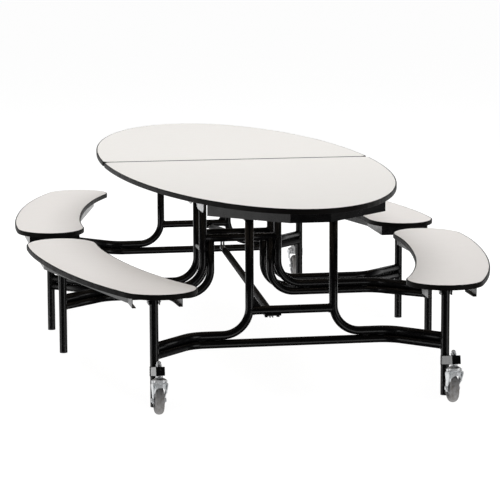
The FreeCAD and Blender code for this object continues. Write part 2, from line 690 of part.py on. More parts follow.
# --------------------------------------------------------- telescopic stays
def stay():
    """Sleeve and rod of the front half's stay, modelled along +X and turned into place."""
    dy = cell("strut_low_y") - YI
    dz = cell("strut_high_z") - cell("strut_low_z")
    span = math.hypot(dy, dz)
    rr, ro = cell("strut_rod") / 2, cell("strut_dia") / 2
    tt, pr = cell("tongue_thick"), cell("strut_pin") / 2

    def put(s):
        # local X runs along the stay, local Z across it in the vertical plane
        at = Placement(Vector(-cell("strut_x"), -cell("strut_low_y"), cell("strut_low_z")),
                       Rotation(Vector(1, 0, 0), math.degrees(math.atan2(dz, dy))))
        return moved(s, at.multiply(Placement(Vector(0, 0, 0), Rotation(Vector(0, 0, 1), 90))))

    sleeve = Part.makeCylinder(ro, 980, Vector(20, 0, 0), Vector(1, 0, 0))
    sleeve = sleeve.makeFillet(2.0, [e for e in sleeve.Edges if abs(e.BoundBox.XMax - e.BoundBox.XMin) < 0.01])
    tongue = block(-8, -tt / 2, -8, 34, tt / 2, 8)
    tongue = tongue.makeFillet(7.5, [e for e in tongue.Edges
                                     if abs(e.tangentAt(e.FirstParameter).y) > 0.9 and e.BoundBox.XMax < 0])
    sleeve = sleeve.fuse(tongue)
    sleeve = sleeve.cut(Part.makeCylinder(rr + 0.08, 970, Vector(60, 0, 0), Vector(1, 0, 0)))
    sleeve = sleeve.cut(Part.makeCylinder(pr + PLAY, 40, Vector(0, -20, 0), Vector(0, 1, 0)))
    rod = Part.makeCylinder(rr, span - 25.0 - 640, Vector(640, 0, 0), Vector(1, 0, 0))
    rod = rod.makeFillet(2.0, [e for e in rod.Edges if abs(e.BoundBox.XMax - e.BoundBox.XMin) < 0.01])
    flat = block(span - 34, -tt / 2, -9.5, span + 15, tt / 2, 7.5)
    shelf = block(span - pr - 0.5, -tt, -pr - 0.3, span + 30, tt, 20)
    rod = rod.fuse(flat.cut(shelf))
    return put(sleeve), put(rod), span


sleeve, rod, span = stay()
solid_node("front_stay_sleeve", sleeve)
solid_node("front_stay_rod", rod)
solid_node("rear_stay_sleeve", turned(sleeve))
solid_node("rear_stay_rod", turned(rod))


# -------------------------------------------------------------------- casters
def fork(sx, sy):
    """Pressed swivel fork: round crown, two arms that draw in towards the riveted axle."""
    x, y = sx * LOX, sy * cell("stem_y")
    top = cell("crown_top")
    ya = y - sy * cell("trail")
    za = cell("stub_mid") - cell("axle_drop")
    hi, t = cell("fork_inner") / 2, cell("fork_plate")
    cr = cell("crown_dia") / 2
    # seen along the wheel: an arch whose arms lean inwards
    outer = [(cr - 4.5, top), (cr - 1.5, top - 1.2), (cr, top - 4.5), (cr, top - 9), (hi + t, za + 9), (hi + t, za - 13)]
    inner = [(hi, za - 13), (hi, za + 9), (cr - t, top - 9), (cr - t - 1.5, top - 5.5)]
    half = outer + inner
    ring = [(x + px, pz) for px, pz in half] + [(x - px, pz) for px, pz in half[::-1]]
    arch = Part.Face(Part.makePolygon([Vector(px, y - 90, pz) for px, pz in ring + ring[:1]])).extrude(Vector(0, 180, 0))
    # seen from the side: a broad shoulder that narrows to a round foot at the axle
    back = sy * -1
    side = [(y - back * 24, top + 1), (y + back * 25, top + 1), (y + back * 27, top - 9), (y + back * 34, za + 26),
            (ya + back * 12.5, za + 6), (ya + back * 10.5, za - 7), (ya + back * 5, za - 12), (ya - back * 5, za - 12),
            (ya - back * 10.5, za - 7), (ya - back * 12.5, za + 6), (y - back * 14, za + 34), (y - back * 25, top - 12)]
    s = arch.common(plate_yz(side, x - 40, x + 40))
    s = s.fuse(Part.makeCone(cr, cr - 2.5, 5.5, Vector(x, y, top - 5.5)))
    # skirt that closes the crown on the side away from the wheel, with an arched lower edge
    hw = hi + 0.7
    arc = [(-hw, top - 70), (-hw, top - 35)]
    for i in range(13):
        a = math.pi * (1 - i / 12)
        arc.append((hw * math.cos(a) * 0.985, top - 35.2 + 17.5 * math.sin(a)))
    arc += [(hw, top - 35), (hw, top - 70)]
    hole = Part.Face(Part.makePolygon([Vector(x + px, y - 60, pz) for px, pz in arc + arc[:1]])).extrude(Vector(0, 120, 0))
    skirt = Part.makeCylinder(cr - 1.1, 33, Vector(x, y, top - 37)).cut(
        Part.makeCylinder(cr - 1.1 - t, 40, Vector(x, y, top - 40)))
    s = s.fuse(skirt.common(block(x - 40, y + sy * 3, top - 60, x + 40, y + sy * 40, top + 10)).cut(hole))
    s = s.cut(Part.makeCylinder(cell("stem_dia") / 2 + 0.06, 60, Vector(x, y, top - 40)))
    axle = rod_between((x - hi - t - 2.5, ya, za), (x + hi + t + 2.5, ya, za), cell("axle_dia") / 2)
    for e in (-1, 1):
        axle = axle.fuse(hex_prism((x + e * (hi + t), ya, za), (e, 0, 0), 13.0, 5.0))
    return tilted(s.fuse(axle).removeSplitter(), sx, sy)


def wheel(label, sx, sy):
    """Wheel with a rounded rubber tread, turned about its axle."""
    body = new_body(label)
    r, w = cell("wheel_dia") / 2, cell("wheel_wide") / 2
    hr, hw, ar = cell("hub_dia") / 2, cell("hub_wide") / 2, cell("axle_dia") / 2 + 0.05
    # half profile in the X-Z plane: X along the axle, Z radial, about the body's own X axis
    shoulder = r - 9.0
    pts = [(-hw, ar), (hw, ar), (hw, ar + 7), (w - 5, ar + 10), (w - 5, hr - 4), (w - 2, hr), (w, hr + 2), (w, shoulder)]
    left = [(-w, shoulder), (-w, hr + 2), (-w + 2, hr), (-w + 5, hr - 4), (-w + 5, ar + 10), (-hw, ar + 7)]
    curves = []
    for a, b in zip(pts[:-1], pts[1:]):
        curves.append(Part.LineSegment(Vector(a[0], a[1], 0), Vector(b[0], b[1], 0)))
    p, q = Vector(w, shoulder, 0), Vector(-w, shoulder, 0)
    k = 0.7071
    m1, m2 = Vector(w - 9.0 * (1 - k), shoulder + 9.0 * k, 0), Vector(-w + 9.0 * (1 - k), shoulder + 9.0 * k, 0)
    a1, a2 = Vector(w - 9.0, r - 0.0, 0), Vector(-w + 9.0, r - 0.0, 0)
    curves += [Part.Arc(p, m1, a1), Part.LineSegment(a1, a2), Part.Arc(a2, m2, q)]
    left_pts = left + [pts[0]]
    for a, b in zip(left_pts[:-1], left_pts[1:]):
        curves.append(Part.LineSegment(Vector(a[0], a[1], 0), Vector(b[0], b[1], 0)))
    sk = sketch_on(body, "XZ_Plane", [curves])
    rev = body.newObject("PartDesign::Revolution", body.Name + "_rev")
    rev.Profile = sk
    rev.ReferenceAxis = (sk, ["H_Axis"])
    rev.Angle = 360
    body.Placement.Base = Vector(0, 0, 0)
    body.setExpression("Placement.Base.x", ref("%d * outer_leg_x" % sx))
    body.setExpression("Placement.Base.y", ref("%d * wheel_y" % sy))
    body.setExpression("Placement.Base.z", ref("wheel_dia / 2"))
    return body


for name, sx, sy in SIDES:
    solid_node(name + "_caster_fork", fork(sx, sy))
    wheel(name + "_caster_wheel", sx, sy)


# ------------------------------------------------------------ check and write
doc.recompute()
bad = []
for obj in doc.Objects:
    if any(flag in obj.State for flag in ("Invalid", "Error")):
        bad.append("%s (%s): %s" % (obj.Name, obj.Label, obj.State))
for obj in parts:
    shape = obj.Shape
    if shape.isNull() or not shape.isValid() or not shape.Solids or shape.Volume <= 0:
        bad.append("%s has no valid solid" % obj.Label)
if bad:
    raise RuntimeError("; ".join(bad))
if len(parts) > 60 or len({o.Label for o in parts}) != len(parts):
    raise RuntimeError("sub-part count or names: %d" % len(parts))

os.makedirs("parts", exist_ok=True)
for obj in parts:
    obj.Shape.exportStep("parts/%s.step" % obj.Label)
    bb = obj.Shape.BoundBox
    print("%-36s %d solid(s) %9.1f cm3  x %.0f..%.0f y %.0f..%.0f z %.1f..%.1f" % (
        obj.Label, len(obj.Shape.Solids), obj.Shape.Volume / 1000, bb.XMin, bb.XMax, bb.YMin, bb.YMax, bb.ZMin, bb.ZMax))
print("parts:", len(parts), "stay span %.2f" % span)
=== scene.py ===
import math
import random

import bpy
import bmesh
from mathutils import Matrix, Vector


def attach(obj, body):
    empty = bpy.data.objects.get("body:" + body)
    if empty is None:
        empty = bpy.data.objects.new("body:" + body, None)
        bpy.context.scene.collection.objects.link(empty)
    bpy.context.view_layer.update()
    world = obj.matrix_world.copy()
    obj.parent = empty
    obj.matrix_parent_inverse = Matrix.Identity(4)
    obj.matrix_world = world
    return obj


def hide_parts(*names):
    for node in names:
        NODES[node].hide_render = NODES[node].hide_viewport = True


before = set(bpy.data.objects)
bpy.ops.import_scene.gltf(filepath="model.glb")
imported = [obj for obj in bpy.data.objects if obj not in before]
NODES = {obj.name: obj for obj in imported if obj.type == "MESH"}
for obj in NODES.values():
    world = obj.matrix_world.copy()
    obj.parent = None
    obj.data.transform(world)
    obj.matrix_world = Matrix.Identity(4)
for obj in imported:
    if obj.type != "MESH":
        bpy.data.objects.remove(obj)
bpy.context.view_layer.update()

SCENE = bpy.context.scene
rng = random.Random(7)

# sizes that the pieces below share with the frame, in metres
TR = 0.015875
POST, YO, YI = 0.157, 1.168, 0.079
LOX, LOY, LIX, LIY = 0.535, 1.347, 0.755, 0.258
Z_LOW, Z_UP = 0.189, 0.22085
OUT_KINK, IN_KINK = 0.372, 0.560
PZ, BZ = 0.655, 0.390
WHEEL_Y, LEAN = 1.45282, math.radians(11.5)
STUB_END, STUB_MID = 1.505, 0.165
SIDES = (("front_left", -1, -1), ("front_right", 1, -1), ("rear_left", -1, 1), ("rear_right", 1, 1))


# ------------------------------------------------------------------ materials
class Mat:
    """A principled material with short helpers for its node graph."""

    def __init__(self, name, color, rough, metal=0.0):
        self.m = bpy.data.materials.new(name)
        self.m.use_nodes = True
        self.t = self.m.node_tree
        self.b = self.t.nodes["Principled BSDF"]
        self.b.inputs["Base Color"].default_value = (*color, 1)
        self.b.inputs["Roughness"].default_value = rough
        self.b.inputs["Metallic"].default_value = metal
        self.co = self.t.nodes.new("ShaderNodeTexCoord").outputs["Object"]

    def put(self, socket, value):
        self.b.inputs[socket].default_value = value
        return self

    def link(self, a, b):
        self.t.links.new(a, b)

    def scaled(self, sx, sy, sz):
        n = self.t.nodes.new("ShaderNodeMapping")
        n.inputs["Scale"].default_value = (sx, sy, sz)
        self.link(self.co, n.inputs["Vector"])
        return n.outputs["Vector"]

    def noise(self, scale, detail=3.0, rough=0.55, at=None, distortion=0.0):
        n = self.t.nodes.new("ShaderNodeTexNoise")
        n.inputs["Scale"].default_value = scale
        n.inputs["Detail"].default_value = detail
        n.inputs["Roughness"].default_value = rough
        n.inputs["Distortion"].default_value = distortion
        self.link(at or self.co, n.inputs["Vector"])
        return n.outputs["Fac"]

    def cells(self, scale, at=None):
        n = self.t.nodes.new("ShaderNodeTexVoronoi")
        n.inputs["Scale"].default_value = scale
        self.link(at or self.co, n.inputs["Vector"])
        return n.outputs["Distance"]

    def ramp(self, fac, stops):
        n = self.t.nodes.new("ShaderNodeValToRGB")
        e = n.color_ramp.elements
        while len(e) < len(stops):
            e.new(0.5)
        for el, (pos, col) in zip(e, stops):
            el.position = pos
            el.color = (*col, 1) if len(col) == 3 else col
        self.link(fac, n.inputs["Fac"])
        return n.outputs["Color"]

    def grey(self, fac, lo, hi, a=0.35, b=0.65):
        return self.ramp(fac, [(a, (lo,) * 3), (b, (hi,) * 3)])

    def span(self, fac, a, b, lo, hi):
        n = self.t.nodes.new("ShaderNodeMapRange")
        for k, v in (("From Min", a), ("From Max", b), ("To Min", lo), ("To Max", hi)):
            n.inputs[k].default_value = v
        self.link(fac, n.inputs["Value"])
        return n.outputs["Result"]

    def mix(self, fac, a, b, kind="MIX"):
        n = self.t.nodes.new("ShaderNodeMix")
        n.data_type = "RGBA"
        n.blend_type = kind
        for sock, v in ((n.inputs[0], fac), (n.inputs[6], a), (n.inputs[7], b)):
            if isinstance(v, (int, float)):
                sock.default_value = v
            elif isinstance(v, tuple):
                sock.default_value = (*v, 1)
            else:
                self.link(v, sock)
        return n.outputs[2]

    def math(self, op, a, b=None):
        n = self.t.nodes.new("ShaderNodeMath")
        n.operation = op
        for sock, v in zip(n.inputs, (a, b)):
            if v is None:
                continue
            if isinstance(v, (int, float)):
                sock.default_value = v
            else:
                self.link(v, sock)
        return n.outputs[0]

    def part_of(self, vector, index):
        n = self.t.nodes.new("ShaderNodeSeparateXYZ")
        self.link(vector, n.inputs[0])
        return n.outputs[index]

    def edges(self, radius, a=0.02, b=0.16):
        """Mask that is 1 along sharp outer edges: how far the bevelled normal leans from the flat one."""
        bev = self.t.nodes.new("ShaderNodeBevel")
        bev.samples = 4
        bev.inputs["Radius"].default_value = radius
        geo = self.t.nodes.new("ShaderNodeNewGeometry")
        dot = self.t.nodes.new("ShaderNodeVectorMath")
        dot.operation = "DOT_PRODUCT"
        self.link(bev.outputs["Normal"], dot.inputs[0])
        self.link(geo.outputs["Normal"], dot.inputs[1])
        return self.span(self.math("SUBTRACT", 1.0, dot.outputs["Value"]), a, b, 0.0, 1.0)

    def color(self, out):
        self.link(out, self.b.inputs["Base Color"])
        return self

    def rough(self, out):
        self.link(out, self.b.inputs["Roughness"])
        return self

    def bump(self, height, dist, strength=1.0, below=None):
        n = self.t.nodes.new("ShaderNodeBump")
        n.inputs["Distance"].default_value = dist
        n.inputs["Strength"].default_value = strength
        self.link(height, n.inputs["Height"])
        if below is not None:
            self.link(below, n.inputs["Normal"])
        self.link(n.outputs["Normal"], self.b.inputs["Normal"])
        return n.outputs["Normal"]


def laminate(name, light, dark):
    """High-pressure laminate: fine speckle, soft cloudiness, hairline scuffs; a darker backing sheet underneath."""
    k = Mat(name, light, 0.36)
    k.put("Specular IOR Level", 0.32)
    speck = k.noise(1500, 2, 0.7)
    cloud = k.noise(2.2, 4, 0.5)
    fibre = k.noise(1.0, 3, 0.6, at=k.scaled(520, 90, 520))
    base = k.mix(k.grey(speck, 0.0, 0.42, 0.42, 0.66), light, dark)
    base = k.mix(k.grey(fibre, 0.0, 0.10, 0.45, 0.7), base, tuple(c * 0.86 for c in dark))
    base = k.mix(k.grey(cloud, 0.0, 0.30, 0.35, 0.75), base, tuple(c * 0.965 for c in light))
    geo = k.t.nodes.new("ShaderNodeTexCoord").outputs["Normal"]
    down = k.math("LESS_THAN", k.part_of(geo, 2), -0.5)
    grain = k.noise(260, 3, 0.6)
    back = k.mix(k.grey(grain, 0.0, 1.0), (0.20, 0.165, 0.13), (0.145, 0.12, 0.095))
    k.color(k.mix(down, base, back))
    scuff = k.noise(1.0, 5, 0.65, at=k.scaled(9, 60, 30), distortion=0.6)
    k.rough(k.span(scuff, 0.3, 0.75, 0.30, 0.44))
    first = k.bump(k.noise(620, 2, 0.5), 0.00004, 0.35)
    k.bump(k.cells(1300), 0.00002, 0.25, below=first)
    return k.m


def edge_strip():
    """Black moulded vinyl edge: faint extrusion lines along it, rubbed lighter in places."""
    k = Mat("edge_strip", (0.006, 0.0055, 0.0052), 0.50)
    k.put("Specular IOR Level", 0.10)
    rub = k.noise(14, 5, 0.6)
    k.color(k.mix(k.grey(rub, 0.0, 1.0, 0.52, 0.80), (0.0036, 0.0031, 0.0028), (0.0085, 0.0076, 0.0070)))
    k.rough(k.span(k.noise(40, 4, 0.6), 0.3, 0.7, 0.42, 0.60))
    first = k.bump(k.noise(1.0, 2, 0.5, at=k.scaled(3, 3, 900)), 0.00006, 0.5)
    k.bump(k.noise(900, 2, 0.6), 0.00003, 0.4, below=first)
    return k.m


def powder_coat(name, tint=(0.0016, 0.0015, 0.0017), worn=True, sheen=(0.18, 0.30), spec=0.45):
    """Black powder coat: orange-peel surface, dust in the hollows, scuffs that thin out above the feet."""
    k = Mat(name, tint, 0.27)
    k.put("Specular IOR Level", spec)
    dust = k.grey(k.noise(9, 5, 0.65), 0.0, 0.5, 0.50, 0.85)
    base = k.mix(dust, tint, tuple(c * 1.6 + 0.0012 for c in tint))
    if worn:
        height = k.part_of(k.co, 2)
        low = k.span(height, 0.0, 0.20, 1.0, 0.0)
        chips = k.grey(k.noise(150, 6, 0.72), 0.0, 1.0, 0.60, 0.66)
        mask = k.math("MULTIPLY", chips, low)
        base = k.mix(mask, base, (0.16, 0.155, 0.15))
        rubbed = k.math("MULTIPLY", k.edges(0.0012), k.span(k.noise(55, 5, 0.7), 0.48, 0.62, 0.0, 0.8))
        base = k.mix(rubbed, base, (0.055, 0.053, 0.052))
    k.color(base)
    k.rough(k.span(k.noise(30, 4, 0.6), 0.3, 0.75, sheen[0], sheen[1]))
    first = k.bump(k.noise(420, 2, 0.45), 0.00006, 0.28)
    k.bump(k.noise(2600, 1, 0.5), 0.00002, 0.30, below=first)
    return k.m


def zinc(name, a, b, rough=(0.24, 0.42), grain=(40, 40, 700), metal=1.0):
    """Bright plated steel: cloudy crystalline plating, drawn grain and dulled patches."""
    k = Mat(name, a, 0.3, metal)
    cloud = k.noise(60, 4, 0.6)
    stain = k.noise(18, 5, 0.7)
    base = k.mix(k.grey(cloud, 0.0, 1.0, 0.35, 0.7), a, b)
    base = k.mix(k.grey(stain, 0.0, 0.55, 0.55, 0.8), base, tuple(c * 0.62 for c in b))
    k.color(k.mix(k.math("MULTIPLY", k.edges(0.0008), 0.6), base, tuple(min(1.0, c * 1.12) for c in a)))
    drawn = k.noise(1.0, 3, 0.6, at=k.scaled(*grain))
    k.rough(k.span(k.math("ADD", k.math("MULTIPLY", drawn, 0.6), k.math("MULTIPLY", stain, 0.4)),
                   0.3, 0.72, rough[0], rough[1]))
    k.bump(drawn, 0.00003, 0.35)
    return k.m


def rubber(name, a, b, speck=True):
    """Grey non-marking tread: matt, its tone mixed in random patches between a light bluish grey and a darker brown
    that is painted shade, with dark specks and mould grain.
    """
    k = Mat(name, a, 0.62)
    k.put("Specular IOR Level", 0.35)
    # painted shade: the darker brown b is the tread's shaded tone, mixed in by random noise patches; the same noise
    # also sets the roughness
    painted_shade_patches = k.noise(70, 5, 0.7)
    base = k.mix(k.grey(painted_shade_patches, 0.0, 1.0, 0.42, 0.72), a, b)
    if speck:
        base = k.mix(k.grey(k.noise(900, 2, 0.7), 0.0, 0.6, 0.58, 0.72), base, tuple(c * 0.5 for c in b))
    k.color(base)
    k.rough(k.span(painted_shade_patches, 0.3, 0.7, 0.52, 0.78))
    k.bump(k.noise(1100, 3, 0.6), 0.00008, 0.4)
    return k.m


def moulded(name, color, rough=0.45):
    k = Mat(name, color, rough)
    k.color(k.mix(k.grey(k.noise(30, 4, 0.6), 0.0, 1.0, 0.4, 0.75), color, tuple(c * 1.5 + 0.004 for c in color)))
    k.rough(k.span(k.noise(90, 3, 0.6), 0.3, 0.7, rough - 0.07, rough + 0.1))
    k.bump(k.noise(1400, 2, 0.5), 0.00004, 0.4)
    return k.m


M = {
    "top": laminate("laminate_top", (0.86, 0.835, 0.80), (0.74, 0.715, 0.68)),
    "seat": laminate("laminate_seat", (0.83, 0.795, 0.765), (0.71, 0.675, 0.645)),
    "edge": edge_strip(),
    "steel": powder_coat("black_powder_coat"),
    "weld": powder_coat("black_powder_coat_weld", (0.0024, 0.0023, 0.0025), worn=False),
    "sleeve": powder_coat("black_matt_sleeve", (0.0018, 0.0017, 0.0018), sheen=(0.46, 0.60), spec=0.25),
    "zinc": zinc("zinc_plate", (0.80, 0.81, 0.82), (0.62, 0.63, 0.65)),
    "chrome": zinc("bright_fastener", (0.90, 0.91, 0.92), (0.76, 0.77, 0.79), rough=(0.14, 0.26), grain=(300, 300, 300),
                   metal=0.42),
    "fork": zinc("caster_zinc", (0.88, 0.90, 0.91), (0.70, 0.72, 0.74), rough=(0.22, 0.40), grain=(90, 90, 500), metal=0.38),
    "rod": zinc("stay_rod_steel", (0.62, 0.62, 0.61), (0.50, 0.50, 0.49), rough=(0.16, 0.28), grain=(700, 12, 700)),
    # tread tones: a light bluish grey and a darker brown that is painted shade
    "tread": rubber("wheel_tread", (0.31, 0.305, 0.305), (0.165, 0.150, 0.136)),
    "hub": moulded("wheel_hub", (0.17, 0.17, 0.175), 0.42),
    "nylon": moulded("black_nylon", (0.014, 0.014, 0.014), 0.48),
}


def kind_of(node):
    if node.endswith("bench_board"):
        return "seat"
    if node.endswith("top_board"):
        return "top"
    if node.endswith("_edge"):
        return "edge"
    if "lock_plates" in node:
        return "zinc"
    if "fasteners" in node:
        return "chrome"
    if node.endswith("caster_fork"):
        return "fork"
    if node.endswith("caster_wheel"):
        return "tread"
    if "glides" in node:
        return "nylon"
    if node.endswith("stay_rod"):
        return "rod"
    if node.endswith("stay_sleeve"):
        return "sleeve"
    return "steel"


for name, obj in NODES.items():
    obj.data.materials.clear()
    obj.data.materials.append(M[kind_of(name)])


# ------------------------------------------------------------------ mesh tools
def make(name, verts, faces, mat, body, smooth=True, replaces=()):
    me = bpy.data.meshes.new(name)
    me.from_pydata([tuple(v) for v in verts], [], faces)
    me.validate()
    bm = bmesh.new()
    bm.from_mesh(me)
    bmesh.ops.recalc_face_normals(bm, faces=bm.faces)
    bm.to_mesh(me)
    bm.free()
    o = bpy.data.objects.new(name, me)
    SCENE.collection.objects.link(o)
    me.materials.append(M[mat])
    for p in me.polygons:
        p.use_smooth = smooth
    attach(o, body)
    if replaces:
        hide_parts(*replaces)
    return o


class Mesh:
    """Collects simple closed forms that end up in one object."""

    def __init__(self):
        self.v, self.f = [], []

    def add(self, verts, faces):
        n = len(self.v)
        self.v += [Vector(v) for v in verts]
        self.f += [tuple(i + n for i in f) for f in faces]
        return self

    def tube(self, pts, radii, segs=10, closed=False):
        """A round sweep through points; radii per point; ends rounded off by the caller's radii."""
        pts = [Vector(p) for p in pts]
        n = len(pts)
        rings, prev = [], None
        for i, p in enumerate(pts):
            a = pts[(i - 1) % n] if (closed or i) else pts[i]
            b = pts[(i + 1) % n] if (closed or i < n - 1) else pts[i]
            d = (b - a).normalized()
            if prev is None:
                side = d.orthogonal().normalized()
            else:
                side = (prev - d * prev.dot(d))
                side = side.normalized() if side.length > 1e-9 else d.orthogonal().normalized()
            prev = side
            other = d.cross(side)
            r = radii[i] if isinstance(radii, (list, tuple)) else radii
            rings.append([p + (side * math.cos(2 * math.pi * k / segs) + other * math.sin(2 * math.pi * k / segs)) * r
                          for k in range(segs)])
        verts = [v for ring in rings for v in ring]
        faces = []
        last = n if closed else n - 1
        for i in range(last):
            j = (i + 1) % n
            for k in range(segs):
                l = (k + 1) % segs
                faces.append((i * segs + k, i * segs + l, j * segs + l, j * segs + k))
        if not closed:
            faces.append(tuple(range(segs))[::-1])
            faces.append(tuple((n - 1) * segs + k for k in range(segs)))
        return self.add(verts, faces)

    def lathe(self, profile, centre, axis, segs=48, closed=False):
        """Profile of (along, radius) turned about the axis; radius 0 at the ends closes it."""
        c, a = Vector(centre), Vector(axis).normalized()
        u = a.orthogonal().normalized()
        w = a.cross(u)
        rows, verts = [], []
        for s, r in profile:
            if r < 1e-7:
                rows.append([len(verts)])
                verts.append(c + a * s)
            else:
                rows.append(list(range(len(verts), len(verts) + segs)))
                verts += [c + a * s + (u * math.cos(2 * math.pi * k / segs) + w * math.sin(2 * math.pi * k / segs)) * r
                          for k in range(segs)]
        faces = []
        pairs = list(zip(rows[:-1], rows[1:])) + ([(rows[-1], rows[0])] if closed else [])
        for p, q in pairs:
            for k in range(segs):
                l = (k + 1) % segs
                if len(p) == 1 and len(q) == 1:
                    continue
                if len(p) == 1:
                    faces.append((p[0], q[l], q[k]))
                elif len(q) == 1:
                    faces.append((p[k], p[l], q[0]))
                else:
                    faces.append((p[k], p[l], q[l], q[k]))
        return self.add(verts, faces)

    def done(self, name, mat, body, smooth=True, replaces=()):
        return make(name, self.v, self.f, mat, body, smooth, replaces)


def ripple(n, r, turns, depth=0.16, taper=False):
    out = []
    for i in range(n):
        v = r * (1 - depth + depth * abs(math.sin(math.pi * turns * i / n)) * 2)
        if taper:
            v *= min(1.0, 0.35 + 4.0 * min(i, n - 1 - i) / n)
        out.append(v)
    return out


def cope_bead(mesh, axis_pt, direction, z, bead=0.0021):
    """Weld bead where a horizontal round tube meets an upright one of the same size."""
    d = Vector((direction[0], direction[1], 0)).normalized()
    side = Vector((-d.y, d.x, 0))
    n = 84
    pts = []
    for i in range(n):
        a = 2 * math.pi * i / n
        lat = TR * 0.985 * math.cos(a)
        s = math.sqrt(max(TR * TR - lat * lat, 0.0)) + 0.0006
        # the rounded ends of the cope keep the bead off the tangent line
        s = max(s, TR * 0.20)
        pts.append(Vector((axis_pt[0], axis_pt[1], z)) + d * s + side * lat + Vector((0, 0, TR * math.sin(a))))
    mesh.tube(pts, ripple(n, bead, 15), 8, closed=True)


def groove_bead(mesh, p, q, bead=0.0022):
    """A short weld lying between two points."""
    p, q = Vector(p), Vector(q)
    n = 26
    pts = [p + (q - p) * i / (n - 1) for i in range(n)]
    mesh.tube(pts, ripple(n, bead, 5, taper=True), 8)


# ----------------------------------------------------------------- bent tubes
BEND, KINK, NEST, Z_CROSS = 0.100, 0.110, 0.12515, 0.4215


def bent(points, radii, steps=16):
    """Centre line through the points with a round bend at each inner one."""
    pts = [Vector(p) for p in points]
    out = [pts[0]]
    for b, radius, a, c in zip(pts[1:-1], radii, pts[:-2], pts[2:]):
        u, w = (a - b).normalized(), (c - b).normalized()
        turn = math.pi - u.angle(w)
        centre = b + (u + w).normalized() * (radius / math.cos(turn / 2))
        start = b + u * radius * math.tan(turn / 2) - centre
        end = b + w * radius * math.tan(turn / 2) - centre
        axis = start.cross(end).normalized()
        out += [centre + Matrix.Rotation(turn * i / steps, 3, axis) @ start for i in range(steps + 1)]
    return out + [pts[-1]]


for prefix, body, sys_, ly, lx, kx, plane in (("front", "front_frame", (-1,), LOY, LOX, OUT_KINK, YO),
                                              ("rear", "rear_frame", (1,), LOY, LOX, OUT_KINK, YO),
                                              ("centre_front", "centre_frame", (-1,), LIY, LIX, IN_KINK, YI),
                                              ("centre_rear", "centre_frame", (1,), LIY, LIX, IN_KINK, YI)):
    sy = sys_[0]
    for side, sx in (("left", -1), ("right", 1)):
        line = bent(((sx * POST, sy * plane, 0.668), (sx * POST, sy * plane, Z_UP), (sx * kx, sy * plane, Z_UP),
                     (sx * lx, sy * ly, Z_UP)), (BEND, KINK))
        Mesh().tube(line, TR, 44).done(prefix + "_post_bend_" + side, "steel", body,
                                       replaces=("%s_post_tube_%s" % (prefix, side),))
    if body == "centre_frame":
        nest = Mesh()
        for sx in (-1, 1):
            nest.tube(bent(((sx * NEST, sy * plane, Z_CROSS), (sx * NEST, sy * plane, Z_LOW), (sx * kx, sy * plane, Z_LOW),
                            (sx * lx, sy * ly, Z_LOW)), (BEND, KINK)), TR, 44)
        nest.tube(((-POST, sy * plane, Z_CROSS), (POST, sy * plane, Z_CROSS)), TR, 44)
        nest.done(prefix + "_nested_tubes", "steel", body, replaces=(prefix + "_lower_frame",))
        ears = Mesh()
        for e in (-1, 1):
            x0, x1 = sorted((sy * 0.075 + e * 0.0035, sy * 0.075 + e * 0.0065))
            y0, y1 = sorted((sy * (plane - 0.013), sy * (plane + 0.013)))
            box = [(x, y, z) for z in (0.370, 0.4215) for x, y in ((x0, y0), (x1, y0), (x1, y1), (x0, y1))]
            ears.add(box, [(3, 2, 1, 0), (4, 5, 6, 7), (0, 1, 5, 4), (1, 2, 6, 5), (2, 3, 7, 6), (3, 0, 4, 7)])
        ears.done(prefix + "_stay_clevis", "steel", body, smooth=False)


# ---------------------------------------------------------------- weld beads
def wing_dir(lx, ly, kx, ky):
    return Vector((kx - lx, ky - ly, 0)).normalized()


for body, sy_list in (("front_frame", (-1,)), ("rear_frame", (1,)), ("centre_frame", (-1, 1))):
    beads = Mesh()
    for sy in sy_list:
        centre = body == "centre_frame"
        lx, ly, kx, ky = (LIX, LIY, IN_KINK, YI) if centre else (LOX, LOY, OUT_KINK, YO)
        cross = 0.4215 if centre else 0.3096
        low = Z_LOW
        for sx in (-1, 1):
            d = (sx * (kx - lx), sy * (ky - ly))
            for z in (Z_UP, low):
                cope_bead(beads, (sx * lx, sy * ly), d, z)
            # cross rail to post
            cope_bead(beads, (sx * POST, sy * ky), (-sx, 0), cross)
            # short welds in the groove between the paired tubes
            zg = (Z_UP + low) / 2
            for f in (-1, 1):
                g = sy * ky + f * 0.0080
                for a, b in ((0.264, 0.290), (kx - 0.05, kx - 0.022)):
                    groove_bead(beads, (sx * a, g, zg), (sx * b, g, zg))
            if centre:
                for z0 in (0.395, 0.345):
                    for f in (-1, 1):
                        groove_bead(beads, (sx * 0.14107, sy * YI + f * 0.0080, z0), (sx * 0.14107, sy * YI + f * 0.0080, z0 - 0.026))
            else:
                h = 0.015875
                ca, sa = math.cos(LEAN), math.sin(LEAN)
                loop = []
                for i in range(72):
                    t = i / 72 * 4
                    k, u = int(t), t - int(t)
                    cs = [(-h, -h), (h, -h), (h, h), (-h, h)]
                    ax, az = cs[k]
                    bx, bz = cs[(k + 1) % 4]
                    x, z = ax + (bx - ax) * u, (az + (bz - az) * u) * 1.03
                    # where the outrigger's outline, which rises outwards, meets the round leg
                    y = ly + max(math.sqrt(max(TR * TR - x * x, 0.0)), 0.004)
                    along = (y - STUB_END + z * sa) / ca
                    loop.append(Vector((sx * lx + x * 1.02, sy * y, STUB_MID + along * sa + z * ca)))
                beads.tube(loop, ripple(72, 0.0019, 14), 7, closed=True)
    beads.done(body + "_weld_beads", "weld", body)


# ------------------------------------------------------------------- fasteners
def pan_screw(mesh, at, down, r=0.0055):
    """Pan head with a shallow driver recess, flat side against the steel."""
    prof = [(0, 0), (0, r), (r * 0.22, r), (r * 0.45, r * 0.86), (r * 0.60, r * 0.55), (r * 0.62, r * 0.30),
            (r * 0.34, r * 0.24), (r * 0.30, 0)]
    mesh.lathe(prof, at, down, 20)


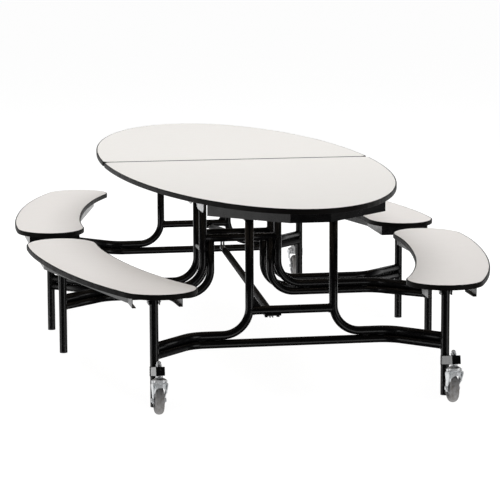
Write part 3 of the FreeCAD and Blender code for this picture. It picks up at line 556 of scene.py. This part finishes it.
for prefix, sy in (("front", -1), ("rear", 1)):
    screws = Mesh()
    for sx in (-1, 1):
        for y in (0.150, 0.290, 0.430, 0.570, 0.820, 0.960, 1.100, 1.240, 1.370):
            pan_screw(screws, (sx * POST, sy * y, 0.7155), (0, 0, -1))
        for x in (0.240, 0.330, 0.420, 0.488):
            pan_screw(screws, (sx * x, sy * 0.075, 0.7155), (0, 0, -1))
        pan_screw(screws, (sx * 0.290, sy * 0.715, 0.7155), (0, 0, -1))
    for x, y in ((-0.2, 1.380), (0.2, 1.380), (0.0, 1.505)):
        pan_screw(screws, (x, sy * y, 0.7155), (0, 0, -1))
    screws.done(prefix + "_top_screws", "zinc", prefix + "_top")


def rivet(mesh, at, out, r=0.0050):
    """Domed rivet head, flat side against the plate."""
    mesh.lathe([(0, 0), (0, r), (r * 0.10, r), (r * 0.26, r * 0.84), (r * 0.36, r * 0.55), (r * 0.40, 0)], at, out, 20)


def plug(mesh, at):
    """Moulded cap in an open tube end: a skirt inside the tube and a low domed lid on its rim."""
    mesh.lathe([(-0.010, 0), (-0.010, 0.0133), (-0.0008, 0.0140), (0.0001, 0.0141), (0.0001, 0.0149), (0.0007, 0.0150),
                (0.0012, 0.0143), (0.0015, 0.0100), (0.0016, 0)], at, (0, 0, 1), 32)


for prefix, sy in (("front", -1), ("rear", 1)):
    heads = Mesh()
    for s in (-1, 1):
        face = 0.1776 if s == sy else 0.1830
        for y, z in ((0.052, 0.676), (0.132, 0.672), (0.184, 0.668)):
            rivet(heads, (s * face, sy * y, z), (s, 0, 0))
    heads.done(prefix + "_lock_plate_rivets", "chrome", prefix + "_top")

for body, posts, legs in (("front_frame", (-YO,), ((LOX, -LOY),)), ("rear_frame", (YO,), ((LOX, LOY),)),
                          ("centre_frame", (-YI, YI), ((LIX, -LIY), (LIX, LIY)))):
    caps = Mesh()
    for sx in (-1, 1):
        for y in posts:
            plug(caps, (sx * POST, y, 0.668))
        for x, y in legs:
            plug(caps, (sx * x, y, 0.402))
    caps.done(body + "_tube_plugs", "nylon", body)


def on_path(path, y):
    for (x0, y0), (x1, y1) in zip(path[:-1], path[1:]):
        if y0 <= y <= y1:
            return x0 + (x1 - x0) * (y - y0) / (y1 - y0)
    return path[-1][0]


BENCH_OUT = ((0.852, 0.135), (0.850, 0.510), (0.626, 1.335), (0.625, 1.443))
BENCH_IN = ((0.651, 0.135), (0.655, 0.426), (0.451, 1.335), (0.445, 1.443))
for name, sx, sy in SIDES:
    screws = Mesh()
    for path, inward in ((BENCH_OUT, -0.0085), (BENCH_IN, 0.0085)):
        for y in (0.185, 0.340, 0.560, 0.780, 1.000, 1.200, 1.400):
            pan_screw(screws, (sx * (on_path(path, y) + inward), sy * y, 0.4165), (0, 0, -1), 0.0042)
    screws.done(name + "_bench_screws", "zinc", name + "_bench_body")

# ------------------------------------------------------------------- casters
SHOULDER = 0.0146


def caster_wheel(name, sx, sy):
    """Tread with rounded shoulders and parting line, moulded core, bearing cover and thread guards."""
    c = (sx * LOX, sy * WHEEL_Y, 0.0508)
    r, w = 0.0508, 0.016
    tread = []
    k = 12
    prof = [(-w, 0.0335), (-w, 0.0372)]
    for i in range(k + 1):
        a = math.pi / 2 * i / k
        prof.append((-w + SHOULDER * (1 - math.cos(a)), r - 0.0125 + 0.0125 * math.sin(a)))
    prof += [(-0.0012, r), (-0.0008, r + 0.00025), (0.0008, r + 0.00025), (0.0012, r)]
    for i in range(k + 1):
        a = math.pi / 2 * (1 - i / k)
        prof.append((w - SHOULDER * (1 - math.cos(a)), r - 0.0125 + 0.0125 * math.sin(a)))
    prof += [(w, 0.0372), (w, 0.0335), (w - 0.003, 0.0322), (-w + 0.003, 0.0322)]
    t = Mesh().lathe(prof, c, (1, 0, 0), 96, closed=True)
    body = name + "_wheel_body"
    t.done(name + "_tyre", "tread", body, replaces=(name + "_caster_wheel",))
    hub = []
    half = [(0.0170, 0.0041), (0.0170, 0.0105), (0.0158, 0.0118), (0.0120, 0.0126), (0.0112, 0.0150), (0.0108, 0.0262),
            (0.0118, 0.0286), (0.0146, 0.0300), (0.0154, 0.0318), (0.0150, 0.0331)]
    hub = [(x, rr) for x, rr in half] + [(-x, rr) for x, rr in reversed(half)]
    Mesh().lathe(hub, c, (1, 0, 0), 64, closed=True).done(name + "_wheel_core", "hub", body)


for name, sx, sy in SIDES:
    caster_wheel(name, sx, sy)

# ------------------------------------------------------------ camera and light
cam_data = bpy.data.cameras.new("camera")
cam = bpy.data.objects.new("camera", cam_data)
SCENE.collection.objects.link(cam)
yaw, pitch, roll = 0.1773, 0.1495, -0.0034
fwd = Vector((math.sin(yaw) * math.cos(pitch), math.cos(yaw) * math.cos(pitch), -math.sin(pitch)))
right = Vector((math.cos(yaw), -math.sin(yaw), 0))
up = right.cross(fwd)
r_ax = right * math.cos(roll) + up * math.sin(roll)
u_ax = -right * math.sin(roll) + up * math.cos(roll)
rot = Matrix((r_ax, u_ax, -fwd)).transposed()
cam.matrix_world = Matrix.Translation((-1.6159, -9.3228, 1.7816)) @ rot.to_4x4()
cam_data.sensor_width = 36.0
cam_data.lens = 36.0 * 2295.4 / 500.0
cam_data.clip_start, cam_data.clip_end = 0.1, 200.0
SCENE.camera = cam

floor_mesh = bpy.data.meshes.new("floor")
S = 60.0
floor_mesh.from_pydata([(-S, -S, -0.0005), (S, -S, -0.0005), (S, S, -0.0005), (-S, S, -0.0005)], [], [(0, 1, 2, 3)])
floor = bpy.data.objects.new("floor", floor_mesh)
SCENE.collection.objects.link(floor)
fm = bpy.data.materials.new("floor_paint")
fm.use_nodes = True
fb = fm.node_tree.nodes["Principled BSDF"]
fb.inputs["Base Color"].default_value = (0.22, 0.22, 0.22, 1)
fb.inputs["Roughness"].default_value = 0.9
fb.inputs["Specular IOR Level"].default_value = 0.0
fb.inputs["Emission Color"].default_value = (1, 1, 1, 1)
fb.inputs["Emission Strength"].default_value = 0.97
floor_mesh.materials.append(fm)
floor.visible_glossy = False
floor.visible_shadow = False

# a white cove behind the table, a dim room on the camera's side, plain white where the camera looks past it
world = bpy.data.worlds.new("studio")
world.use_nodes = True
wt = world.node_tree
wt.nodes.clear()
w_out = wt.nodes.new("ShaderNodeOutputWorld")
w_co = wt.nodes.new("ShaderNodeTexCoord")
w_xyz = wt.nodes.new("ShaderNodeSeparateXYZ")
wt.links.new(w_co.outputs["Generated"], w_xyz.inputs[0])


def w_range(socket, a, b, lo, hi):
    n = wt.nodes.new("ShaderNodeMapRange")
    n.interpolation_type = "SMOOTHSTEP"
    for key, val in (("From Min", a), ("From Max", b), ("To Min", lo), ("To Max", hi)):
        n.inputs[key].default_value = val
    wt.links.new(socket, n.inputs["Value"])
    return n.outputs["Result"]


def w_times(p, q, kind="MULTIPLY"):
    n = wt.nodes.new("ShaderNodeMath")
    n.operation = kind
    for sock, v in zip(n.inputs, (p, q)):
        if isinstance(v, (int, float)):
            sock.default_value = v
        else:
            wt.links.new(v, sock)
    return n.outputs[0]


w_back = w_range(w_xyz.outputs[1], 0.10, 0.85, 0.0, 1.0)
w_low = w_range(w_xyz.outputs[2], 0.02, 0.42, 1.0, 0.06)
w_above = w_range(w_xyz.outputs[2], -0.60, -0.28, 0.0, 1.0)
w_strength = w_times(w_times(w_times(w_times(w_back, w_low), w_above), 1.00), 0.018, "ADD")
w_lit = wt.nodes.new("ShaderNodeBackground")
wt.links.new(w_strength, w_lit.inputs["Strength"])
w_white = wt.nodes.new("ShaderNodeBackground")
w_white.inputs["Strength"].default_value = 1.0
for node in (w_lit, w_white):
    node.inputs["Color"].default_value = (1, 1, 1, 1)
w_path = wt.nodes.new("ShaderNodeLightPath")
w_mix = wt.nodes.new("ShaderNodeMixShader")
wt.links.new(w_path.outputs["Is Camera Ray"], w_mix.inputs[0])
wt.links.new(w_lit.outputs[0], w_mix.inputs[1])
wt.links.new(w_white.outputs[0], w_mix.inputs[2])
wt.links.new(w_mix.outputs[0], w_out.inputs["Surface"])
SCENE.world = world


def softbox(name, at, target, size, power, shape=(1.0, 1.0)):
    l = bpy.data.lights.new(name, "AREA")
    l.shape = "RECTANGLE"
    l.size, l.size_y = size * shape[0], size * shape[1]
    l.energy = power
    o = bpy.data.objects.new(name, l)
    SCENE.collection.objects.link(o)
    o.location = at
    o.visible_camera = False
    o.rotation_euler = (Vector(target) - Vector(at)).to_track_quat("-Z", "Y").to_euler()
    return o


softbox("top_light", (0.0, 0.6, 6.0), (0, 0, 0), 7.4, 475).visible_glossy = False
softbox("ceiling_glow", (0.0, 1.5, 5.0), (0, 0, 0), 6.0, 24)
softbox("left_light", (-7.0, -1.8, -0.4), (0, 0, 0.3), 2.4, 42, (1.0, 1.3))
softbox("right_light", (4.3, -4.6, -0.4), (0, 0, 0.3), 3.0, 34, (1.0, 1.0))
softbox("low_front_light", (0.6, -5.5, -2.7), (0, 0, 0.3), 4.0, 30, (1.0, 0.5))

SCENE.view_settings.view_transform = "Standard"
SCENE.view_settings.look = "None"
SCENE.view_settings.exposure = 0.0
SCENE.view_settings.gamma = 1.0
